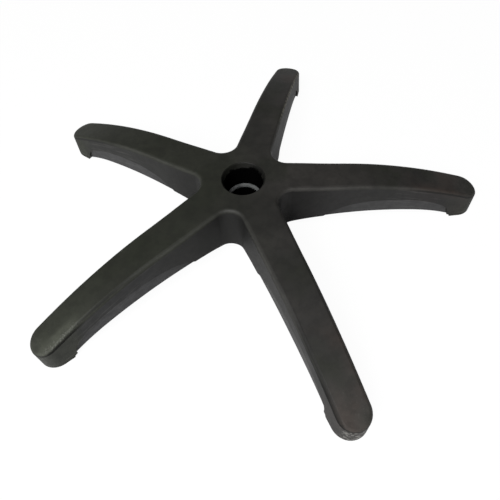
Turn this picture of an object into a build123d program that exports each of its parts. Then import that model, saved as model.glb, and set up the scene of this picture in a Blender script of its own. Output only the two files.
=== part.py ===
from build123d import *
import os
from math import acos, atan2, cos, radians, sin, sqrt, tan

os.makedirs("parts", exist_ok=True)

# Sizes in mm. Modelled with the hub's top face at z = 0 and the socket axis on Z, +Z up, one leg
# along +X. At the end everything moves up so that z = 0 lies halfway down the socket's taper.

# Star plan, taken at the height of the hub's top face
LEG_COUNT = 5
LEG_STEP_DEG = 360.0 / LEG_COUNT
CASTER_REACH = 300.0
TIP_RADIUS = 18.0
ROOT_REACH = 105.0
ROOT_HALF_WIDTH = 23.1
CROTCH_RADIUS = 20.0

# Moulded walls
FLANK_DRAFT_DEG = 2.3
BAND_DRAFT_DEG = 0.5
BAND_STEP = 0.4
BAND_STEP_HEIGHT = -40.0
SIDE_WALL = 3.4
ROOF_WALL = 4.0
CAVITY_DRAFT_DEG = 1.0
TOP_EDGE_ROUND = 5.0

# Top face, parting line and lower rim, as reach and height
HUB_FLAT_REACH = 40.0
TOP_HEIGHTS = [(105.0, -5.8), (160.0, -11.3), (215.0, -21.5), (265.0, -35.7), (332.0, -61.3)]
TOP_END_SLOPE = -0.44
BAND_HEIGHTS = [
    (100.0, -66.0),
    (112.0, -56.0),
    (126.0, -47.5),
    (145.0, -41.7),
    (168.0, -39.5),
    (200.0, -41.9),
    (230.0, -47.4),
    (248.0, -52.6),
    (266.0, -60.5),
    (278.0, -69.0),
    (283.0, -80.0),
]
RIM_HEIGHTS = [
    (50.0, -67.8),
    (75.0, -62.0),
    (110.0, -59.2),
    (150.0, -58.6),
    (190.0, -61.2),
    (225.0, -66.0),
    (252.0, -71.8),
    (270.0, -77.6),
    (284.0, -83.4),
]

# Deeper caster pad at the end of each leg
PAD_START = 284.0
PAD_BOTTOM = -88.0
PAD_CORNER_ROUND = 4.0
PAD_WALL_REACH = 276.0
PAD_WALL = 4.0
CASTER_HOLE_RADIUS = 5.5
CASTER_HOLE_DEPTH = 25.0
CASTER_BOSS_RADIUS = 10.5

# Hub socket for the gas lift column, and the ring that lies in it
MOUTH_RADIUS = 27.5
MOUTH_EDGE = 0.8
LEAD_IN_DEPTH = 7.0
SOCKET_RADIUS = 25.0
SOCKET_TAPER = 1.0 / 40.0
RING_TOP = -35.0
RING_THICKNESS = 3.0
RING_INNER_RADIUS = 19.2
RING_SIDE_GAP = 0.5
RING_EDGE = 0.5
LOWER_BORE_RADIUS = 20.5
HUB_TUBE_RADIUS = 31.0
HUB_TUBE_BOTTOM = -68.0

# Ribs under the roof
SPINE_RIB = 3.0
CROSS_RIB = 2.5
HUB_RIB = 3.0
RIB_SETBACK = 3.0
RIB_BITE = 1.0
LATTICE_START = 66.0
LATTICE_CELLS = 4

# Construction limits well outside the part
OUTSIDE = 345.0
BELOW = -100.0
FAR_BELOW = -101.0
ABOVE = 8.0


def star_face(inset, height):
    """Plan of the star, moved inward by inset, as a face at the given height."""
    bisector = Vector(cos(radians(LEG_STEP_DEG / 2)), sin(radians(LEG_STEP_DEG / 2)))
    span = CASTER_REACH - ROOT_REACH
    root = Vector(ROOT_REACH, ROOT_HALF_WIDTH)
    lean = acos(TIP_RADIUS / sqrt(span**2 + ROOT_HALF_WIDTH**2)) - atan2(span, ROOT_HALF_WIDTH)
    outward = Vector(sin(lean), cos(lean))
    reach = (CROTCH_RADIUS + outward.dot(root)) / outward.dot(bisector)
    crotch_centre = bisector * reach
    foot = crotch_centre - outward * (CROTCH_RADIUS + inset)
    crotch = crotch_centre - bisector * (CROTCH_RADIUS + inset)
    end = Vector(CASTER_REACH, 0) + outward * (TIP_RADIUS - inset)
    nose = Vector(CASTER_REACH + TIP_RADIUS - inset, 0)
    foot_below = Vector(foot.X, -foot.Y)
    end_below = Vector(end.X, -end.Y)
    edges = []
    for leg in range(LEG_COUNT):
        turn = leg * LEG_STEP_DEG
        stops = [foot_below, end_below, nose, end, foot, crotch]
        stops = [point.rotate(Axis.Z, turn) for point in stops]
        next_foot = foot_below.rotate(Axis.Z, turn + LEG_STEP_DEG)
        edges.append(Line(stops[0], stops[1]))
        edges.append(ThreePointArc(stops[1], stops[2], stops[3]))
        edges.append(Line(stops[3], stops[4]))
        edges.append(ThreePointArc(stops[4], stops[5], next_foot))
    return Plane.XY.offset(height) * make_face(edges)


def star_prism(inset, draft_deg):
    """Star prism with the given inset at the hub's top face, wider downward by the draft."""
    face = star_face(inset + ABOVE * tan(radians(draft_deg)), ABOVE)
    return extrude(face, amount=ABOVE - BELOW, dir=(0, 0, -1), taper=-draft_deg)


def revolved(lines):
    return revolve(Plane.XZ * make_face(lines), Axis.Z)


def space_under(curve, floor):
    """Solid of revolution between a profile curve and a floor height."""
    first = curve @ 0
    last = curve @ 1
    return revolved(
        [
            curve,
            Line(last, (last.X, floor)),
            Line((last.X, floor), (first.X, floor)),
            Line((first.X, floor), first),
        ]
    )


def crown():
    """Everything below the moulding's top face."""
    start = (HUB_FLAT_REACH, 0)
    curve = Spline(start, *TOP_HEIGHTS, tangents=[(1, 0), (1, TOP_END_SLOPE)])
    last = curve @ 1
    flare = Vector(OUTSIDE, last.Y + (OUTSIDE - last.X) * TOP_END_SLOPE)
    return revolved(
        [
            Line((0, 0), start),
            curve,
            Line(last, flare),
            Line(flare, (OUTSIDE, BELOW)),
            Line((OUTSIDE, BELOW), (0, BELOW)),
            Line((0, BELOW), (0, 0)),
        ]
    )


def rim_space():
    """Space under the arched lower rim, which steps down to the caster pads."""
    curve = Spline(*RIM_HEIGHTS)
    first = curve @ 0
    last = curve @ 1
    turn = PAD_CORNER_ROUND
    pad = PAD_BOTTOM
    return revolved(
        [
            Line((0, first.Y), first),
            curve,
            Line(last, (last.X, pad + turn)),
            RadiusArc((last.X, pad + turn), (last.X + turn, pad), turn),
            Line((last.X + turn, pad), (OUTSIDE, pad)),
            Line((OUTSIDE, pad), (OUTSIDE, FAR_BELOW)),
            Line((OUTSIDE, FAR_BELOW), (0, FAR_BELOW)),
            Line((0, FAR_BELOW), (0, first.Y)),
        ]
    )


def on_seam(edge):
    """True for the crown's own seam, which runs along +X."""
    middle = edge @ 0.5
    return middle.X > 0 and abs(middle.Y) < 0.1


def on_legs(shape):
    """The shape repeated on every leg."""
    return [shape.rotate(Axis.Z, leg * LEG_STEP_DEG) for leg in range(LEG_COUNT)]


def flats_along_legs(stops, floor):
    """Space down to the floor under flat facets that follow reach and height along each leg."""
    profile = Polyline(*stops, (stops[-1][0], floor), (stops[0][0], floor), stops[0])
    slab = extrude(Plane.XZ * make_face(profile), amount=HUB_TUBE_RADIUS, both=True)
    return Part() + on_legs(slab)


def upright_wall(start, end, thickness):
    """Straight rib between two plan points, from the top face down past the part."""
    run = Vector(*end) - Vector(*start)
    place = Plane(origin=Vector(*start), x_dir=run, z_dir=(0, 0, -1))
    wall = Box(run.length, thickness, -BELOW, align=(Align.MIN, Align.CENTER, Align.MIN))
    return place * wall


def post(reach, radius, top, bottom):
    """Round post or hole on the leg's centre line."""
    shape = Cylinder(radius, top - bottom, align=(Align.CENTER, Align.CENTER, Align.MIN))
    return Pos(reach, 0, bottom) * shape


# Outer form: drafted star under the crowned top, with its upper edges rounded
outer = star_prism(0, FLANK_DRAFT_DEG) & crown()
curved_edges = outer.edges().filter_by(GeomType.BSPLINE)
upper_edges = [edge for edge in curved_edges if not on_seam(edge)]
outer = fillet(upper_edges, TOP_EDGE_ROUND)

# Lower band of the flanks, set in below the parting line and leaning the other way
band_lean = tan(radians(BAND_DRAFT_DEG)) + tan(radians(FLANK_DRAFT_DEG))
band_inset = BAND_STEP + band_lean * BAND_STEP_HEIGHT
band_reach = space_under(Spline(*BAND_HEIGHTS), FAR_BELOW)
outer = outer - (band_reach - star_prism(band_inset, -BAND_DRAFT_DEG))

# Arched lower rim and caster pads
outer = outer - rim_space()

# Pockets under the roof, left between the side walls, the hub tube and the ribs
roof_heights = [(0, 0), (HUB_FLAT_REACH, 0)] + TOP_HEIGHTS
roof = [(reach, height - ROOF_WALL) for reach, height in roof_heights]
pockets = star_prism(SIDE_WALL, CAVITY_DRAFT_DEG) & flats_along_legs(roof, BELOW)
cell = (PAD_WALL_REACH - LATTICE_START) / LATTICE_CELLS
half = ROOT_HALF_WIDTH - SIDE_WALL / 2
tube_end = HUB_TUBE_RADIUS - RIB_BITE
nose_end = CASTER_REACH + TIP_RADIUS - RIB_BITE
leg_ribs = [upright_wall((tube_end, 0), (nose_end, 0), SPINE_RIB)]
for index in range(LATTICE_CELLS):
    near = LATTICE_START + index * cell
    leg_ribs.append(upright_wall((near, -half), (near + cell, half), CROSS_RIB))
    leg_ribs.append(upright_wall((near, half), (near + cell, -half), CROSS_RIB))
leg_ribs.append(upright_wall((CASTER_REACH, -TIP_RADIUS), (CASTER_REACH, TIP_RADIUS), SPINE_RIB))
hub_rib = upright_wall((tube_end, 0), (LATTICE_START, 0), HUB_RIB)
leg_ribs.append(hub_rib.rotate(Axis.Z, LEG_STEP_DEG / 2))
ribs = []
for rib in leg_ribs:
    ribs += on_legs(rib)
ribs = Part() + ribs
rim_heights = [(0, RIM_HEIGHTS[0][1])] + RIM_HEIGHTS + [(PAD_START, PAD_BOTTOM), (OUTSIDE, PAD_BOTTOM)]
rib_ends = [(reach, height + RIB_SETBACK) for reach, height in rim_heights]
ribs = ribs - flats_along_legs(rib_ends, FAR_BELOW)

pad_half = TIP_RADIUS + SIDE_WALL
pad_wall = upright_wall((PAD_WALL_REACH, -pad_half), (PAD_WALL_REACH, pad_half), PAD_WALL)
pad_boss = post(CASTER_REACH, CASTER_BOSS_RADIUS, 0, PAD_BOTTOM)
hub_tube = post(0, HUB_TUBE_RADIUS, 0, HUB_TUBE_BOTTOM)
pockets = pockets - ribs
pockets = pockets - ([hub_tube] + on_legs(pad_wall) + on_legs(pad_boss))

base = outer - pockets

# Caster holes, open at the bottom of the pads
caster_hole = post(CASTER_REACH, CASTER_HOLE_RADIUS, PAD_BOTTOM + CASTER_HOLE_DEPTH, BELOW)
base = base - on_legs(caster_hole)

# Tapered hub socket with its lead-in and the ledge the ring lies on
ring_seat = RING_TOP - RING_THICKNESS
seat_radius = SOCKET_RADIUS + SOCKET_TAPER * (ring_seat + LEAD_IN_DEPTH)
socket = revolved(
    [
        Polyline(
            (0, ABOVE),
            (MOUTH_RADIUS + MOUTH_EDGE + ABOVE, ABOVE),
            (MOUTH_RADIUS, -MOUTH_EDGE),
            (SOCKET_RADIUS, -LEAD_IN_DEPTH),
            (seat_radius, ring_seat),
            (LOWER_BORE_RADIUS, ring_seat),
            (LOWER_BORE_RADIUS, BELOW),
            (0, BELOW),
            (0, ABOVE),
        )
    ]
)
base = base - socket

# Ring lying on the ledge
ring_radius = SOCKET_RADIUS + SOCKET_TAPER * (RING_TOP + LEAD_IN_DEPTH) - RING_SIDE_GAP
ring = revolved(
    [
        Polyline(
            (RING_INNER_RADIUS, ring_seat),
            (ring_radius, ring_seat),
            (ring_radius, RING_TOP - RING_EDGE),
            (ring_radius - RING_EDGE, RING_TOP),
            (RING_INNER_RADIUS, RING_TOP),
            (RING_INNER_RADIUS, ring_seat),
        )
    ]
)

to_row_frame = Pos(0, 0, (LEAD_IN_DEPTH - RING_TOP) / 2)
export_step(to_row_frame * base, "parts/star_base.step")
export_step(to_row_frame * ring, "parts/hub_ring.step")
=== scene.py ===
import math

import bpy
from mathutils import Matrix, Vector


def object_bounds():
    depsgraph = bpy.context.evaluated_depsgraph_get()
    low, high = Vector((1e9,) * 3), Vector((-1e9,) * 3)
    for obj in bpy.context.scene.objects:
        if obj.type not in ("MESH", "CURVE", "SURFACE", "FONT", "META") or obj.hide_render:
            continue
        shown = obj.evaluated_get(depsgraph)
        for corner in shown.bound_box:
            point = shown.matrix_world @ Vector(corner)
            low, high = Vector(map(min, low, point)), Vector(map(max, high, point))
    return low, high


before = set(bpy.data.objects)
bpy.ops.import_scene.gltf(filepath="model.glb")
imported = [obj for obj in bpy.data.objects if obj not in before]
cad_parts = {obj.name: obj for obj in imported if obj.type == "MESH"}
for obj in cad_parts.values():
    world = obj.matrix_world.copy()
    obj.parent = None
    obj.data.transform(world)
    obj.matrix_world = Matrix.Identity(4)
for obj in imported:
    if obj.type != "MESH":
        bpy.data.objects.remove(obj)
cad_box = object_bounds()


# Star moulding. The real piece is one injection moulding in black nylon with a fine spark texture.
# It stays as the CAD made it and only gets its finish here: mould grain, bloom, and streaks and
# scuffs that grow towards the leg ends. Light and shade are painted over it as well: highlights on
# the rounded edges, the parting line and the near leg ends, paler light from the floor on the band
# under the parting line, and shade in the crotches, the creases and the socket.
def fill(tree, socket, value):
    """Join the socket to another socket, or give it a plain value."""
    if isinstance(value, bpy.types.NodeSocket):
        tree.links.new(value, socket)
    else:
        socket.default_value = value


def add(tree, kind, values=None, **settings):
    """Put a node in the tree, give its settings, and fill or join its inputs."""
    made = tree.nodes.new("ShaderNode" + kind)
    for name, value in settings.items():
        setattr(made, name, value)
    for key, value in (values or {}).items():
        fill(tree, made.inputs[key], value)
    return made


def calc(tree, operation, *terms):
    """Output of one Math node over the given numbers or sockets."""
    return add(tree, "Math", dict(enumerate(terms)), operation=operation).outputs[0]


def ramp(tree, value, low, high, start=0.0, end=1.0):
    """Value carried from low..high to start..end with soft ends."""
    limits = {0: value, 1: low, 2: high, 3: start, 4: end}
    return add(tree, "MapRange", limits, interpolation_type="SMOOTHSTEP").outputs[0]


def mask(tree, *factors):
    """Product of the factors: numbers, sockets, and soft ramps as (value, low, high, start, end)."""
    result = None
    for factor in factors:
        step = ramp(tree, *factor) if isinstance(factor, tuple) else factor
        result = step if result is None else calc(tree, "MULTIPLY", result, step)
    return result


def plus(tree, base, value, share):
    """Base with a share of the value added."""
    return calc(tree, "MULTIPLY_ADD", value, share, base)


def noise(tree, place, scale, detail, roughness=0.5):
    """Noise over the place, from 0 to 1."""
    settings = {0: place, "Scale": scale, "Detail": detail, "Roughness": roughness}
    return add(tree, "TexNoise", settings).outputs[0]


def blend(tree, factor, first, second):
    """Colour between first and second by the factor."""
    made = add(tree, "Mix", {"Factor": factor}, data_type="RGBA")
    first_colour, second_colour = made.inputs[6], made.inputs[7]
    fill(tree, first_colour, first)
    fill(tree, second_colour, second)
    return made.outputs[2]


def reach_of(tree, x, y):
    """Distance from the hub's axis."""
    return calc(tree, "SQRT", calc(tree, "ADD", mask(tree, x, x), mask(tree, y, y)))


def finish_group(name, inputs, outputs):
    """Empty node group with the named inputs and outputs, and its two end nodes."""
    group = bpy.data.node_groups.new(name, "ShaderNodeTree")
    for way, sockets in (("INPUT", inputs), ("OUTPUT", outputs)):
        for label, kind in sockets.items():
            group.interface.new_socket(label, in_out=way, socket_type=kind)
    return group, group.nodes.new("NodeGroupInput"), group.nodes.new("NodeGroupOutput")


def dress(node, material):
    """Give a node of the CAD this one material."""
    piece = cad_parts[node]
    piece.data.materials.clear()
    piece.data.materials.append(material)


# Place on the leg: how far out along the nearest leg a point lies, how far inside its edge, and
# how far under the parting line
ROOT_REACH = 0.105
CASTER_REACH = 0.300
ROOT_HALF_WIDTH = 0.0231
TIP_RADIUS = 0.018
NARROWING = (TIP_RADIUS - ROOT_HALF_WIDTH) / (CASTER_REACH - ROOT_REACH)
LEG_STEP = math.radians(72.0)
PARTING_LINE = [
    (0.100, -0.0450),
    (0.112, -0.0350),
    (0.126, -0.0265),
    (0.145, -0.0207),
    (0.168, -0.0185),
    (0.200, -0.0209),
    (0.230, -0.0264),
    (0.248, -0.0316),
    (0.266, -0.0395),
    (0.278, -0.0480),
    (0.283, -0.0590),
]
CURVE_REACH = 0.35
CURVE_DEPTH = 0.07
PLACES = ("Along", "Across", "Leg", "Inside edge", "Reach", "Under parting")
leg_place, start, end = finish_group(
    "leg_place",
    {"Object": "NodeSocketVector"},
    dict.fromkeys(PLACES, "NodeSocketFloat"),
)
x, y, z = add(leg_place, "SeparateXYZ", {0: start.outputs["Object"]}).outputs
reach = reach_of(leg_place, x, y)
bearing = calc(leg_place, "ARCTAN2", y, x)
leg = calc(leg_place, "ROUND", calc(leg_place, "DIVIDE", bearing, LEG_STEP))
turn = calc(leg_place, "WRAP", bearing, LEG_STEP / 2, -LEG_STEP / 2)
along = mask(leg_place, reach, calc(leg_place, "COSINE", turn))
across = mask(leg_place, reach, calc(leg_place, "SINE", turn))
half_width = plus(leg_place, ROOT_HALF_WIDTH - ROOT_REACH * NARROWING, along, NARROWING)
inside = calc(leg_place, "SUBTRACT", half_width, calc(leg_place, "ABSOLUTE", across))
parting = add(leg_place, "FloatCurve", {"Value": calc(leg_place, "DIVIDE", reach, CURVE_REACH)})
line = parting.mapping.curves[0]
line.points[0].location = (0.0, 1.0 + PARTING_LINE[0][1] / CURVE_DEPTH)
line.points[1].location = (1.0, 1.0 + PARTING_LINE[-1][1] / CURVE_DEPTH)
for point_reach, point_height in PARTING_LINE:
    line.points.new(point_reach / CURVE_REACH, 1.0 + point_height / CURVE_DEPTH)
parting.mapping.update()
line_height = plus(leg_place, -CURVE_DEPTH, parting.outputs[0], CURVE_DEPTH)
under = calc(leg_place, "SUBTRACT", line_height, z)
for label, value in zip(PLACES, (along, across, leg, inside, reach, under)):
    leg_place.links.new(value, end.inputs[label])

# Mould grain: the fine spark texture of the tool, over slow waves of the surface
WAVE_SHARE = 6.0
mould_grain, start, end = finish_group(
    "mould_grain",
    {"Object": "NodeSocketVector", "Depth": "NodeSocketFloat"},
    {"Normal": "NodeSocketVector"},
)
fine = noise(mould_grain, start.outputs["Object"], scale=1600.0, detail=3.0, roughness=0.6)
waves = noise(mould_grain, start.outputs["Object"], scale=55.0, detail=2.0)
height = plus(mould_grain, fine, waves, WAVE_SHARE)
depth = start.outputs["Depth"]
grain_bump = add(mould_grain, "Bump", {"Height": height, "Distance": depth, "Strength": 1.0})
mould_grain.links.new(grain_bump.outputs[0], end.inputs["Normal"])

# Places and directions that the wear and the painted light and shade follow, with legs counted
# counter-clockwise from +X. A pair says where an effect is none and where it is full: metres for
# places, 0 to 1 for noises and for facing_up, the cosine of the angle from +Z. Two more numbers set
# the strengths there.
LEFT_LEG = -2.0
RIGHT_LEG = -1.0
SAME_LEG = 0.5
STEEP_WALL = (0.35, 0.10)
OUTER_LEG = (0.21, 0.325)
WARM_SIDE = (-0.07, 0.06)
NEAR_LEGS = (-0.12, -0.19)
FARTHEST_LEG = (0.10, 0.15)
SOCKET_MOUTH = (0.0290, 0.0282)
END_WALL = (0.306, 0.316)
nylon = bpy.data.materials.new("black_nylon_moulding")
nylon.use_nodes = True
tree = nylon.node_tree
surface = tree.nodes["Principled BSDF"]
texture = add(tree, "TexCoord")
object_place = texture.outputs["Object"]
x, y, z = add(tree, "SeparateXYZ", {0: object_place}).outputs
place = add(tree, "Group", node_tree=leg_place)
tree.links.new(object_place, place.inputs["Object"])
along, across, leg, inside, reach, under = (place.outputs[label] for label in PLACES)
facing_up = add(tree, "SeparateXYZ", {0: texture.outputs["Normal"]}).outputs[2]
side = ramp(tree, facing_up, *STEEP_WALL)
outward = ramp(tree, along, *OUTER_LEG)
warm = ramp(tree, x, *WARM_SIDE)
near_legs = ramp(tree, y, *NEAR_LEGS)
farthest_leg = ramp(tree, y, *FARTHEST_LEG)
in_socket = ramp(tree, reach, *SOCKET_MOUTH)
left_leg = calc(tree, "COMPARE", leg, LEFT_LEG, SAME_LEG)
right_leg = calc(tree, "COMPARE", leg, RIGHT_LEG, SAME_LEG)
broad = noise(tree, object_place, scale=13.0, detail=3.0)
cloud = noise(tree, object_place, scale=28.0, detail=6.0, roughness=0.6)
mottle = noise(tree, object_place, scale=85.0, detail=4.0, roughness=0.65)
chips = noise(tree, object_place, scale=190.0, detail=3.0)
dents = noise(tree, object_place, scale=210.0, detail=5.0, roughness=0.65)
flecks = noise(tree, object_place, scale=420.0, detail=4.0, roughness=0.7)
sparkle = noise(tree, object_place, scale=520.0, detail=3.0, roughness=0.6)

# Body colour: greener on one side of the star and browner on the other, with cloudy bloom and a
# paler tone outward. Over it lie painted highlights on the ends of the two near legs, strongest in a
# strip by the end of one of them, and painted light on the leg roots towards +X.
NYLON = (0.0186, 0.0196, 0.0148, 1.0)
NYLON_WARM = (0.0204, 0.0196, 0.0184, 1.0)
NYLON_BLOOM_AND_PAINTED_LIGHT = (0.056, 0.060, 0.046, 1.0)
NYLON_BLOOM_AND_PAINTED_LIGHT_WARM = (0.060, 0.055, 0.049, 1.0)
CLOUD_BLOOM = 0.18
OUTWARD_PALE = 0.30
TIP_HIGHLIGHT_SHARE = 0.70
FAR_ROOTS_LIGHT_SHARE = 0.15
LEG_WIDTH = (-0.016, 0.018)
LEFT_LEG_HIGHLIGHT = (-0.14, 0.58)
RIGHT_LEG_HIGHLIGHT = (0.30, 0.12)
RIGHT_HIGHLIGHT_START = (0.265, 0.305)
TIP_HIGHLIGHT_SIDE = (0.004, 0.011)
TIP_HIGHLIGHT_START = (0.255, 0.278)
TIP_HIGHLIGHT_END = (0.304, 0.292)
FAR_ROOTS_X = (0.02, 0.06)
FAR_ROOTS_Y = (-0.04, -0.01)
FAR_ROOTS_END = (0.24, 0.18)
CLOUDY = (0.35, 0.75)
# Painted highlight across the ends of the two near legs, stronger on one side of each
left_side_highlight = mask(tree, left_leg, (across, *LEG_WIDTH, *LEFT_LEG_HIGHLIGHT))
right_side_highlight = mask(tree, right_leg, (across, *LEG_WIDTH, *RIGHT_LEG_HIGHLIGHT), (along, *RIGHT_HIGHLIGHT_START))
near_side_highlight = mask(tree, near_legs, calc(tree, "ADD", left_side_highlight, right_side_highlight))
outward_pale_and_highlight = calc(tree, "ADD", near_side_highlight, OUTWARD_PALE)
# Painted highlight in a strip by the end of one near leg
tip_highlight = mask(
    tree,
    left_leg,
    (across, *TIP_HIGHLIGHT_SIDE),
    (along, *TIP_HIGHLIGHT_START),
    (along, *TIP_HIGHLIGHT_END),
)
# Painted light on the leg roots towards +X
far_roots_light = mask(tree, (x, *FAR_ROOTS_X), (y, *FAR_ROOTS_Y), (along, *FAR_ROOTS_END))
bloom_and_painted_light = mask(tree, (cloud, *CLOUDY), CLOUD_BLOOM)
bloom_and_painted_light = plus(tree, bloom_and_painted_light, outward, outward_pale_and_highlight)
bloom_and_painted_light = plus(tree, bloom_and_painted_light, tip_highlight, TIP_HIGHLIGHT_SHARE)
bloom_and_painted_light = plus(tree, bloom_and_painted_light, far_roots_light, FAR_ROOTS_LIGHT_SHARE)
plain = blend(tree, warm, NYLON, NYLON_WARM)
bloom_and_painted_light_colour = blend(tree, warm, NYLON_BLOOM_AND_PAINTED_LIGHT, NYLON_BLOOM_AND_PAINTED_LIGHT_WARM)
colour = blend(tree, bloom_and_painted_light, plain, bloom_and_painted_light_colour)

# Stains: greenish patches, and brown outward on the warm side. Painted shade darkens one near leg,
# most on one half, in the colour of the patches.
NYLON_PATCH_AND_SHADE = (0.0150, 0.0172, 0.0116, 1.0)
NYLON_BROWN = (0.040, 0.029, 0.024, 1.0)
SHADE_SHARE = 0.35
BROWN_SHARE = 0.55
PATCH_SPOTS = (0.54, 0.40)
PATCH_CLOUD = (0.35, 0.60, 0.2, 0.6)
SHADE_SIDE = (0.010, 0.0, 0.45, 1.0)
SHADE_START = (0.12, 0.17)
SHADE_END = (0.315, 0.300)
BROWN_SPOTS = (0.46, 0.62)
BROWN_START = (0.20, 0.25)
patches = mask(tree, (broad, *PATCH_SPOTS), (cloud, *PATCH_CLOUD))
colour = blend(tree, patches, colour, NYLON_PATCH_AND_SHADE)
# Painted shade on one near leg
painted_shade = mask(tree, left_leg, (across, *SHADE_SIDE), (along, *SHADE_START), (along, *SHADE_END))
colour = blend(tree, mask(tree, painted_shade, SHADE_SHARE), colour, NYLON_PATCH_AND_SHADE)
brown = mask(tree, (broad, *BROWN_SPOTS), (along, *BROWN_START), mask(tree, warm, BROWN_SHARE))
colour = blend(tree, brown, colour, NYLON_BROWN)

# Flanks: darker over the parting line, painted paler under it as light from the white floor, and
# painted paler still on one near leg
NYLON_FLANK = (0.0190, 0.0187, 0.0191, 1.0)
NYLON_BAND_FLOOR_LIGHT = (0.050, 0.050, 0.051, 1.0)
NYLON_FLANK_LIT = (0.085, 0.085, 0.093, 1.0)
NEAR_FLANK_SHARE = 0.55
BAND_SHARE = 0.8
FLANK_END = (0.30, 0.26, 0.0, 0.75)
BAND_TOP = (-0.0003, 0.0005)
BAND_START = (0.100, 0.150)
PAD_WALL = (0.2835, 0.2820)
PALE_START = (0.12, 0.18, 0.0, 0.15)
PALE_END = (0.275, 0.255)
near_flank = mask(tree, near_legs, NEAR_FLANK_SHARE)
flank = calc(tree, "MAXIMUM", ramp(tree, along, *FLANK_END), near_flank)
colour = blend(tree, mask(tree, side, flank), colour, NYLON_FLANK)
# Painted light from the floor on the band under the parting line
band = mask(tree, (under, *BAND_TOP), side, (reach, *BAND_START), (reach, *PAD_WALL))
colour = blend(tree, mask(tree, band, BAND_SHARE), colour, NYLON_BAND_FLOOR_LIGHT)
# Painted light on the flanks of one near leg
left_flank_light = mask(tree, side, left_leg, (along, *PALE_START), (along, *PALE_END))
colour = blend(tree, left_flank_light, colour, NYLON_FLANK_LIT)

# Painted shade: dark in the crotches between the legs, and on the front of the hub
NYLON_MOTTLE_AND_SHADE = (0.0050, 0.0050, 0.0046, 1.0)
HUB_FRONT_SHARE = 0.28
CROTCH_DEPTH = (0.13, 0.075, 0.0, 0.47)
HUB_FRONT_REACH = (0.105, 0.080)
HUB_FRONT_Y = (-0.015, -0.050)
colour = blend(tree, mask(tree, side, (along, *CROTCH_DEPTH)), colour, NYLON_MOTTLE_AND_SHADE)
hub_front_shade = mask(tree, (reach, *HUB_FRONT_REACH), (y, *HUB_FRONT_Y))
colour = blend(tree, mask(tree, hub_front_shade, HUB_FRONT_SHARE), colour, NYLON_MOTTLE_AND_SHADE)

# Parting line: a thin painted highlight, broken along its length
NYLON_SCUFF_AND_HIGHLIGHT = (0.170, 0.167, 0.155, 1.0)
SEAM_HALF_WIDTH = (0.0009, 0.0002)
SEAM_BREAKS = (0.40, 0.60)
SEAM_START = (0.17, 0.24, 0.0, 0.35)
off_seam = calc(tree, "ABSOLUTE", under)
seam_highlight = mask(tree, (off_seam, *SEAM_HALF_WIDTH), side, (cloud, *SEAM_BREAKS))
colour = blend(tree, mask(tree, seam_highlight, (along, *SEAM_START)), colour, NYLON_SCUFF_AND_HIGHLIGHT)

# Rounded top edge: a painted highlight near the hub, with a line of painted shade at its foot near
# the leg ends
NYLON_EDGE_HIGHLIGHT = (0.062, 0.062, 0.057, 1.0)
EDGE_HIGHLIGHT_SHARE = 0.38
CREASE_SHARE = 0.85
LEFT_CREASE_DELAY = 0.035
ROUNDING_FOOT = (0.30, 0.55)
ROUNDING_TOP = (0.90, 0.75)
EDGE_HIGHLIGHT_PATCHES = (0.30, 0.60, 0.35, 1.0)
EDGE_HIGHLIGHT_END = (0.27, 0.18, 0.10, 1.0)
EDGE_HIGHLIGHT_MOUTH = (0.0290, 0.0330)
EDGE_HIGHLIGHT_CROTCH = (0.075, 0.115, 0.5, 1.0)
CREASE_FOOT = (0.045, 0.09)
CREASE_TOP = (0.62, 0.40)
CREASE_START = (0.20, 0.245)
# Painted highlight along the rounding of the top edge
edge_highlight = mask(
    tree,
    (facing_up, *ROUNDING_FOOT),
    (facing_up, *ROUNDING_TOP),
    (cloud, *EDGE_HIGHLIGHT_PATCHES),
    (along, *EDGE_HIGHLIGHT_END),
    (reach, *EDGE_HIGHLIGHT_MOUTH),
    (along, *EDGE_HIGHLIGHT_CROTCH),
)
colour = blend(tree, mask(tree, edge_highlight, EDGE_HIGHLIGHT_SHARE), colour, NYLON_EDGE_HIGHLIGHT)
# Painted shade line at the foot of the rounding
crease_along = plus(tree, along, left_leg, -LEFT_CREASE_DELAY)
crease_shade = mask(tree, (facing_up, *CREASE_FOOT), (facing_up, *CREASE_TOP), (crease_along, *CREASE_START))
colour = blend(tree, mask(tree, crease_shade, CREASE_SHARE), colour, NYLON_MOTTLE_AND_SHADE)

# Edges of the two near legs on the sides that face each other: duller, with painted shade instead
# of the painted highlight
DULL_SHARE = 0.6
LEFT_EDGE_SHIFT = (0.255, 0.275, 0.0, 0.0010)
LEFT_EDGE = (0.0160, 0.0182)
RIGHT_EDGE = (-0.0148, -0.0172)
DULL_START = (0.17, 0.22)
DULL_FOOT_START = (0.248, 0.272)
DULL_FOOT = (0.05, 0.20)
DULL_TOP = (0.50, 0.80)
left_edge = calc(tree, "SUBTRACT", across, ramp(tree, along, *LEFT_EDGE_SHIFT))
dull_edge_shade = calc(
    tree, "ADD",
    mask(tree, left_leg, (left_edge, *LEFT_EDGE)),
    mask(tree, right_leg, (across, *RIGHT_EDGE)),
)
dull_foot = mask(tree, (along, *DULL_FOOT_START), (facing_up, *DULL_FOOT))
dull_height = calc(tree, "MAXIMUM", dull_foot, ramp(tree, facing_up, *DULL_TOP))
dull_edge_shade = mask(tree, dull_edge_shade, (along, *DULL_START), dull_height)
colour = blend(tree, mask(tree, dull_edge_shade, DULL_SHARE), colour, NYLON_MOTTLE_AND_SHADE)

# Nicks in the top edge of the farthest leg
NYLON_WORN_EDGE = (0.150, 0.140, 0.105, 1.0)
NICK_CHIPS = (0.40, 0.55)
NICK_TOP = (0.90, 0.70)
NICK_FOOT = (0.02, 0.20)
NICK_SIDE = (0.0, -0.012, 0.0, 0.9)
nicks = mask(
    tree,
    (chips, *NICK_CHIPS),
    (facing_up, *NICK_TOP),
    (facing_up, *NICK_FOOT),
    mask(tree, farthest_leg, (across, *NICK_SIDE)),
)
colour = blend(tree, nicks, colour, NYLON_WORN_EDGE)

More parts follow.
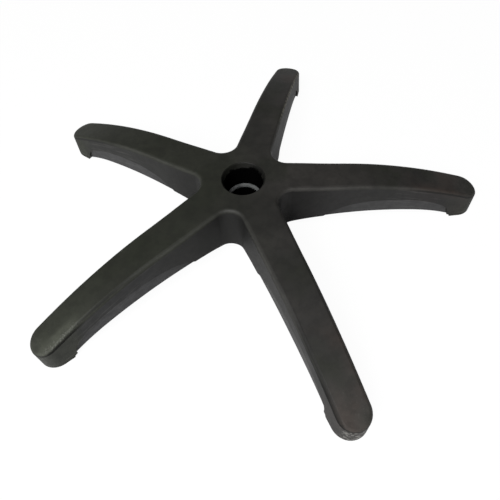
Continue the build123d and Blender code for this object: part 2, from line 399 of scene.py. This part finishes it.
# Streaks: fine scratches along the flanks, which fall with the leg as it goes out
FALL_START = 0.04
FALL_RATE = 0.73
STRETCH_ALONG = 16.0
STRETCH_UP = 480.0
STRETCH_ACROSS = 40.0
LEG_STEP_IN_NOISE = 7.3
STREAK_LINES = (0.58, 0.68)
STREAK_START = (0.13, 0.20, 0.0, 0.13)
STREAK_END = (0.285, 0.25)
STREAK_NEAR = (-0.14, -0.22, 1.0, 2.6)
past_hub = calc(tree, "SUBTRACT", along, FALL_START)
fall = mask(tree, past_hub, past_hub, FALL_RATE)
stretched = add(tree, "CombineXYZ", {
    0: mask(tree, along, STRETCH_ALONG),
    1: mask(tree, calc(tree, "ADD", z, fall), STRETCH_UP),
    2: plus(tree, mask(tree, across, STRETCH_ACROSS), leg, LEG_STEP_IN_NOISE),
}).outputs[0]
streaks = mask(
    tree,
    (noise(tree, stretched, scale=1.0, detail=2.0), *STREAK_LINES),
    side,
    (along, *STREAK_START),
    (along, *STREAK_END),
    (y, *STREAK_NEAR),
)
colour = blend(tree, streaks, colour, NYLON_SCUFF_AND_HIGHLIGHT)

# Scuffs: flecks on the leg ends, painted highlights as glints along the edge of one near leg, knocks
# on the end walls
SCUFF_FLECKS = (0.55, 0.75)
SCUFF_START = (0.26, 0.315, 0.0, 0.14)
GLINT_SPARKLE = (0.52, 0.62)
GLINT_X = (0.0, -0.12)
GLINT_EDGE = (0.0085, 0.0030)
GLINT_TOP = (0.55, 0.80)
GLINT_START = (0.245, 0.285)
GLINT_SIDE = (0.004, 0.012, 0.0, 0.42)
MOTTLE_SPOTS = (0.58, 0.38, 0.0, 0.22)
KNOCK_DENTS = (0.48, 0.60)
KNOCK_NEAR = (-0.20, -0.30, 0.10, 0.85)
scuffs = mask(tree, (flecks, *SCUFF_FLECKS), (along, *SCUFF_START))
colour = blend(tree, scuffs, colour, NYLON_SCUFF_AND_HIGHLIGHT)
# Painted highlights: glints along the edge of one near leg
glints = mask(
    tree,
    (sparkle, *GLINT_SPARKLE),
    (x, *GLINT_X),
    near_legs,
    (inside, *GLINT_EDGE),
    (facing_up, *GLINT_TOP),
    (along, *GLINT_START),
    (across, *GLINT_SIDE),
)
colour = blend(tree, glints, colour, NYLON_SCUFF_AND_HIGHLIGHT)
colour = blend(tree, ramp(tree, mottle, *MOTTLE_SPOTS), colour, NYLON_MOTTLE_AND_SHADE)
knocks = mask(tree, (dents, *KNOCK_DENTS), side, (along, *END_WALL), (y, *KNOCK_NEAR))
colour = blend(tree, knocks, colour, NYLON_SCUFF_AND_HIGHLIGHT)

# Inside of the socket: painted shade, dark over the lead-in and black under an uneven edge deeper
# down
NYLON_BORE_SHADE = (0.0010, 0.0010, 0.0010, 1.0)
LEAD_IN_SHARE = 0.62
SHADE_EDGE_RUNS = 0.0045
SHADE_EDGE_SPOTS = (0.40, 0.60)
SHADE_EDGE_HEIGHT = (0.0195, 0.0150)
# Painted shade in the socket, with an uneven upper edge
shade_edge = plus(tree, z, ramp(tree, mottle, *SHADE_EDGE_SPOTS), SHADE_EDGE_RUNS)
deep = mask(tree, in_socket, (shade_edge, *SHADE_EDGE_HEIGHT))
colour = blend(tree, mask(tree, in_socket, LEAD_IN_SHARE), colour, NYLON_BORE_SHADE)
colour = blend(tree, deep, colour, NYLON_BORE_SHADE)
tree.links.new(colour, surface.inputs["Base Color"])

# Satin of the nylon: rougher where it is flecked, worn towards the leg ends, or deep in the socket,
# and duller on the flanks, in the socket, on the shaded leg and edges
PLAIN_ROUGH = 0.50
PLAIN_SHEEN = 0.25
GRAIN_DEPTH = (0.20, 0.30, 0.00004, 0.00007)
rough = PLAIN_ROUGH
for worn, gain in ((flecks, 0.12), (outward, 0.04), (deep, 0.35)):
    rough = plus(tree, rough, worn, gain)
tree.links.new(rough, surface.inputs["Roughness"])
sheen = PLAIN_SHEEN
for worn, loss in ((side, 0.10), (in_socket, 0.10), (painted_shade, 0.07), (dull_edge_shade, 0.12), (deep, 0.15)):
    sheen = plus(tree, sheen, worn, -loss)
tree.links.new(sheen, surface.inputs["Specular IOR Level"])
grain = add(tree, "Group", {"Depth": ramp(tree, along, *GRAIN_DEPTH)}, node_tree=mould_grain)
tree.links.new(object_place, grain.inputs["Object"])
tree.links.new(grain.outputs["Normal"], surface.inputs["Normal"])
dress("star_base", nylon)


# Ring in the socket. A turned steel washer that lies on the ledge under the taper and takes the
# foot of the column. Dull zinc-grey with the fine circles of the lathe on its face.
RING_STEEL = (0.290, 0.300, 0.298, 1.0)
RING_STEEL_DARK = (0.150, 0.162, 0.162, 1.0)
RING_ROUGH = 0.32
RING_ROUGH_RANGE = 0.2
RING_METAL = 0.6
STAIN_SPOTS = (0.35, 0.7)
LATHE_CIRCLES = 9.0
LATHE_DEPTH = 0.00003
ring_steel = bpy.data.materials.new("turned_ring_steel")
ring_steel.use_nodes = True
tree = ring_steel.node_tree
surface = tree.nodes["Principled BSDF"]
object_place = add(tree, "TexCoord").outputs["Object"]
x, y, z = add(tree, "SeparateXYZ", {0: object_place}).outputs
outward = mask(tree, reach_of(tree, x, y), LATHE_CIRCLES)
circles = add(tree, "CombineXYZ", {0: outward, 2: z}).outputs[0]
lathe = noise(tree, circles, scale=420.0, detail=3.0)
stain = noise(tree, object_place, scale=160.0, detail=5.0)
steel = blend(tree, ramp(tree, stain, *STAIN_SPOTS), RING_STEEL, RING_STEEL_DARK)
lathe_bump = add(tree, "Bump", {"Height": lathe, "Distance": LATHE_DEPTH, "Strength": 1.0})
tree.links.new(steel, surface.inputs["Base Color"])
tree.links.new(plus(tree, RING_ROUGH, lathe, RING_ROUGH_RANGE), surface.inputs["Roughness"])
tree.links.new(lathe_bump.outputs[0], surface.inputs["Normal"])
surface.inputs["Metallic"].default_value = RING_METAL
dress("hub_ring", ring_steel)


# White floor and backdrop. A plain sheet just under the leg ends: the camera and the gloss of
# the nylon see it white, it keeps a faint shadow, and from below it is clear.
FLOOR_DROP = 0.0002
FLOOR_REACH = 6.0
PAPER_GREY = (0.8, 0.8, 0.8, 1.0)
PURE_WHITE = (1.0, 1.0, 1.0, 1.0)
PAPER_GLOW = 1.02
GLOW_SHARE = 0.94
MIRRORED_REACH = (0.06, 0.20, 0.0, 0.6)
floor_height = cad_box[0][2] - FLOOR_DROP
corners = []
for u, v in ((-1, -1), (1, -1), (1, 1), (-1, 1)):
    corners.append((u * FLOOR_REACH, v * FLOOR_REACH, floor_height))
floor_mesh = bpy.data.meshes.new("floor")
floor_mesh.from_pydata(corners, [], [(0, 1, 2, 3)])
floor = bpy.data.objects.new("floor", floor_mesh)
bpy.context.scene.collection.objects.link(floor)
paper = bpy.data.materials.new("white_paper")
paper.use_nodes = True
tree = paper.node_tree
tree.nodes.clear()
rays = add(tree, "LightPath")
x, y, z = add(tree, "SeparateXYZ", {0: add(tree, "TexCoord").outputs["Object"]}).outputs
reach = reach_of(tree, x, y)
mirrored = mask(tree, rays.outputs["Is Glossy Ray"], (reach, *MIRRORED_REACH))
seen = calc(tree, "MAXIMUM", rays.outputs["Is Camera Ray"], mirrored)
seen = calc(tree, "MAXIMUM", seen, rays.outputs["Is Transmission Ray"])
diffuse = add(tree, "BsdfDiffuse", {"Color": PAPER_GREY})
white = add(tree, "Emission", {"Color": PURE_WHITE, "Strength": PAPER_GLOW})
glow = mask(tree, seen, GLOW_SHARE)
mixed = add(tree, "MixShader", {0: glow, 1: diffuse.outputs[0], 2: white.outputs[0]})
clear = add(tree, "BsdfTransparent")
from_below = add(tree, "NewGeometry").outputs["Backfacing"]
sheet = add(tree, "MixShader", {0: from_below, 1: mixed.outputs[0], 2: clear.outputs[0]})
add(tree, "OutputMaterial", {0: sheet.outputs[0]})
floor_mesh.materials.append(paper)


# Studio light. One wide soft box high in front and to the left, and a room that is pale low down,
# dim above and dimmer on one side. The camera sees the room white.
ROOM_UP = (0.03, 0.42, 0.50, 0.07)
ROOM_SIDE = (0.10, 0.90, 1.0, 0.35)
SOFT_BOX_SIZE = 1.4
SOFT_BOX_PLACE = (-0.80, -1.38, 1.8)
SOFT_BOX_WATTS = 80.0
world = bpy.data.worlds.new("studio")
bpy.context.scene.world = world
world.use_nodes = True
tree = world.node_tree
tree.nodes.clear()
rays = add(tree, "LightPath")
x, y, z = add(tree, "SeparateXYZ", {0: add(tree, "TexCoord").outputs["Generated"]}).outputs
room = mask(tree, (z, *ROOM_UP), (x, *ROOM_SIDE))
level = calc(tree, "MAXIMUM", room, rays.outputs["Is Camera Ray"])
sky = add(tree, "Background", {"Color": PURE_WHITE, "Strength": level})
add(tree, "OutputWorld", {0: sky.outputs[0]})

lamp = bpy.data.lights.new("soft_box", "AREA")
lamp.shape = "SQUARE"
lamp.size = SOFT_BOX_SIZE
lamp.energy = SOFT_BOX_WATTS
lamp_object = bpy.data.objects.new("soft_box", lamp)
lamp_object.location = SOFT_BOX_PLACE
lamp_object.rotation_euler = (-Vector(SOFT_BOX_PLACE)).to_track_quat("-Z", "Y").to_euler()
bpy.context.scene.collection.objects.link(lamp_object)


# Camera above the near gap between two legs. It looks down at the hub and has the whole star in
# the frame.
CAMERA_PLACE = (-0.00348, -0.39768, 0.44882)
CAMERA_TURN_DEG = (33.7549, 2.2223, -4.159)
CAMERA_LENS = 32.42
SENSOR_WIDTH = 36.0
camera = bpy.data.cameras.new("camera")
camera.lens = CAMERA_LENS
camera.sensor_width = SENSOR_WIDTH
camera_object = bpy.data.objects.new("camera", camera)
camera_object.location = CAMERA_PLACE
camera_object.rotation_euler = [math.radians(angle) for angle in CAMERA_TURN_DEG]
bpy.context.scene.collection.objects.link(camera_object)
bpy.context.scene.camera = camera_object
bpy.context.scene.view_settings.view_transform = "Standard"
